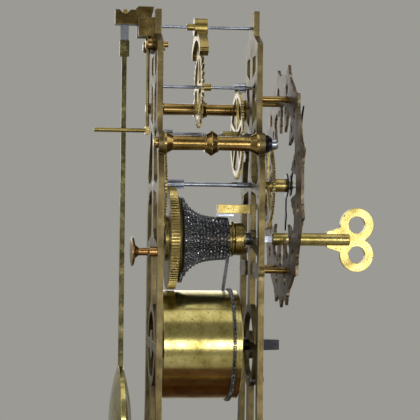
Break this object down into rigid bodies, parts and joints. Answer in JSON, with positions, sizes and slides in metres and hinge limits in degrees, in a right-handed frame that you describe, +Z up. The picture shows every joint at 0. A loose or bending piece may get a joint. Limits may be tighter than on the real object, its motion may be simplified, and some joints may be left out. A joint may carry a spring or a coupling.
{
  "type": "skeleton clock",
  "caption": "Fusee skeleton clock: pierced brass plates on a wooden base, wheel train, chain, anchor escapement, pendulum, fretted dial and winding key.",
  "frame": {"origin": "centre of the underside of the wooden base", "axes": "+Z up, the dial faces -Y, +X is to the right as the dial is read"},
  "size_m": [0.22, 0.1664, 0.2887],
  "materials": {
    "plate_brass": "worn polished brass, grainy at the edges",
    "bright_brass": "mirror-polished brass",
    "wheel_brass": "finely brushed brass",
    "pillar_brass": "turned reddish brass",
    "dark_brass": "brass darkened by old oil",
    "dial_brass": "brown patinated brass",
    "steel": "grey-blue turned steel",
    "dark_steel": "dark gunmetal steel",
    "blued_steel": "black blued steel",
    "pendulum_brass": "greenish aged brass",
    "copper": "copper-coloured bronze",
    "wood": "dark polished mahogany"
  },
  "bodies": {
    "frame": {"base": "wood", "front_plate": "plate_brass", "back_plate": "plate_brass", "foot_bolts": "dark_steel", "middle_pillar": "pillar_brass", "upper_pillar": "pillar_brass", "lower_pillar_left": "pillar_brass", "lower_pillar_right": "pillar_brass", "pillar_washers": "dark_steel", "pillar_nuts": "steel", "barrel_arbor": "dark_steel", "mainspring": "dark_steel", "setup_ratchet": "steel", "setup_click_screw": "steel", "chain_run": "dark_steel", "back_cock": "plate_brass", "cock_screws": "pillar_brass", "suspension_pin": "wheel_brass", "minute_stud": "steel", "chapter_ring": "dial_brass", "dial_pillars": "pillar_brass", "dial_nuts": "pillar_brass", "rear_stud": "copper", "stop_block": "wheel_brass"},
    "barrel": {"barrel_drum": "bright_brass", "barrel_lid": "bright_brass", "barrel_chain": "dark_steel", "chain_hook": "dark_steel"},
    "fusee": {"fusee_arbor": "steel", "fusee_cone": "dark_brass", "fusee_cap": "wheel_brass", "fusee_ratchet": "steel", "fusee_chain": "dark_steel"},
    "great": {"great_wheel": "wheel_brass", "maintaining_ring": "wheel_brass", "ratchet_clicks": "steel"},
    "centre": {"centre_arbor": "steel", "centre_wheel": "wheel_brass", "cannon_wheel": "wheel_brass", "minute_hand": "blued_steel", "hand_collet": "wheel_brass"},
    "third": {"third_arbor": "steel", "third_wheel": "wheel_brass"},
    "escape": {"escape_arbor": "steel", "escape_wheel": "wheel_brass"},
    "pallets": {"pallet_arbor": "steel", "pallet_anchor": "wheel_brass", "crutch": "wheel_brass", "crutch_pins": "wheel_brass"},
    "pendulum": {"suspension_spring": "steel", "pendulum_block": "pendulum_brass", "pendulum_rod": "pendulum_brass", "pendulum_bob": "bright_brass", "rating_nut": "pendulum_brass"},
    "minute_work": {"minute_wheel": "wheel_brass"},
    "hour_work": {"hour_wheel": "wheel_brass", "hour_hand": "blued_steel"},
    "key": {"winding_key": "pendulum_brass"},
    "stop": {"stop_arm": "steel"},
    "click": {"setup_click": "steel"}
  },
  "joints": [
    {"name": "minute_hand_turn", "type": "hinge", "parent": "frame", "child": "centre", "pos_m": [0, 0, 0.1959], "axis": [0, 1, 0], "range_deg": [-125, 211]},
    {"name": "great_wheel_turn", "type": "hinge", "parent": "frame", "child": "great", "pos_m": [0, 0, 0.1673], "axis": [0, 1, 0], "range_deg": [-20, 12]},
    {"name": "third_wheel_turn", "type": "hinge", "parent": "frame", "child": "third", "pos_m": [0, 0, 0.22235], "axis": [0, 1, 0], "range_deg": [-2600, 1600]},
    {"name": "escape_wheel_turn", "type": "hinge", "parent": "frame", "child": "escape", "pos_m": [0, 0, 0.24735], "axis": [0, 1, 0], "range_deg": [-17000, 28500]},
    {"name": "minute_wheel_turn", "type": "hinge", "parent": "frame", "child": "minute_work", "pos_m": [0.0197, 0, 0.21129], "axis": [0, 1, 0], "range_deg": [-215, 130]},
    {"name": "hour_hand_turn", "type": "hinge", "parent": "frame", "child": "hour_work", "pos_m": [0, 0, 0.1959], "axis": [0, 1, 0], "range_deg": [-12, 20]},
    {"name": "fusee_turn", "type": "hinge", "parent": "frame", "child": "fusee", "pos_m": [0, 0, 0.1673], "axis": [0, 1, 0], "range_deg": [-5040, 0], "deforming": ["chain_run"]},
    {"name": "barrel_turn", "type": "hinge", "parent": "frame", "child": "barrel", "pos_m": [0, 0, 0.1112], "axis": [0, 1, 0], "range_deg": [-10, 2600]},
    {"name": "pendulum_swing", "type": "hinge", "parent": "frame", "child": "pendulum", "pos_m": [0, 0, 0.27905], "axis": [0, 1, 0], "range_deg": [-2.5, 2.5]},
    {"name": "pallets_swing", "type": "hinge", "parent": "frame", "child": "pallets", "pos_m": [0, 0, 0.27905], "axis": [0, 1, 0], "range_deg": [-2.6, 2.6]},
    {"name": "key_slide", "type": "slide", "parent": "fusee", "child": "key", "axis": [0, -1, 0], "range_m": [0, 0.015]},
    {"name": "stop_arm_lift", "type": "hinge", "parent": "frame", "child": "stop", "pos_m": [0, -0.0092, 0.1831], "axis": [1, 0, 0], "range_deg": [-2.5, 2]},
    {"name": "setup_click_turn", "type": "hinge", "parent": "frame", "child": "click", "pos_m": [-0.012, 0, 0.0937], "axis": [0, 1, 0], "range_deg": [0, 12]}
  ],
  "couplings": [
    {"joint": "great_wheel_turn", "follows": "minute_hand_turn", "ratio": -0.083333},
    {"joint": "third_wheel_turn", "follows": "minute_hand_turn", "ratio": -12},
    {"joint": "escape_wheel_turn", "follows": "minute_hand_turn", "ratio": 132},
    {"joint": "minute_wheel_turn", "follows": "minute_hand_turn", "ratio": -1},
    {"joint": "hour_hand_turn", "follows": "minute_hand_turn", "ratio": 0.083333},
    {"joint": "barrel_turn", "follows": "fusee_turn", "ratio": -0.5},
    {"joint": "pallets_swing", "follows": "pendulum_swing", "ratio": 1}
  ]
}
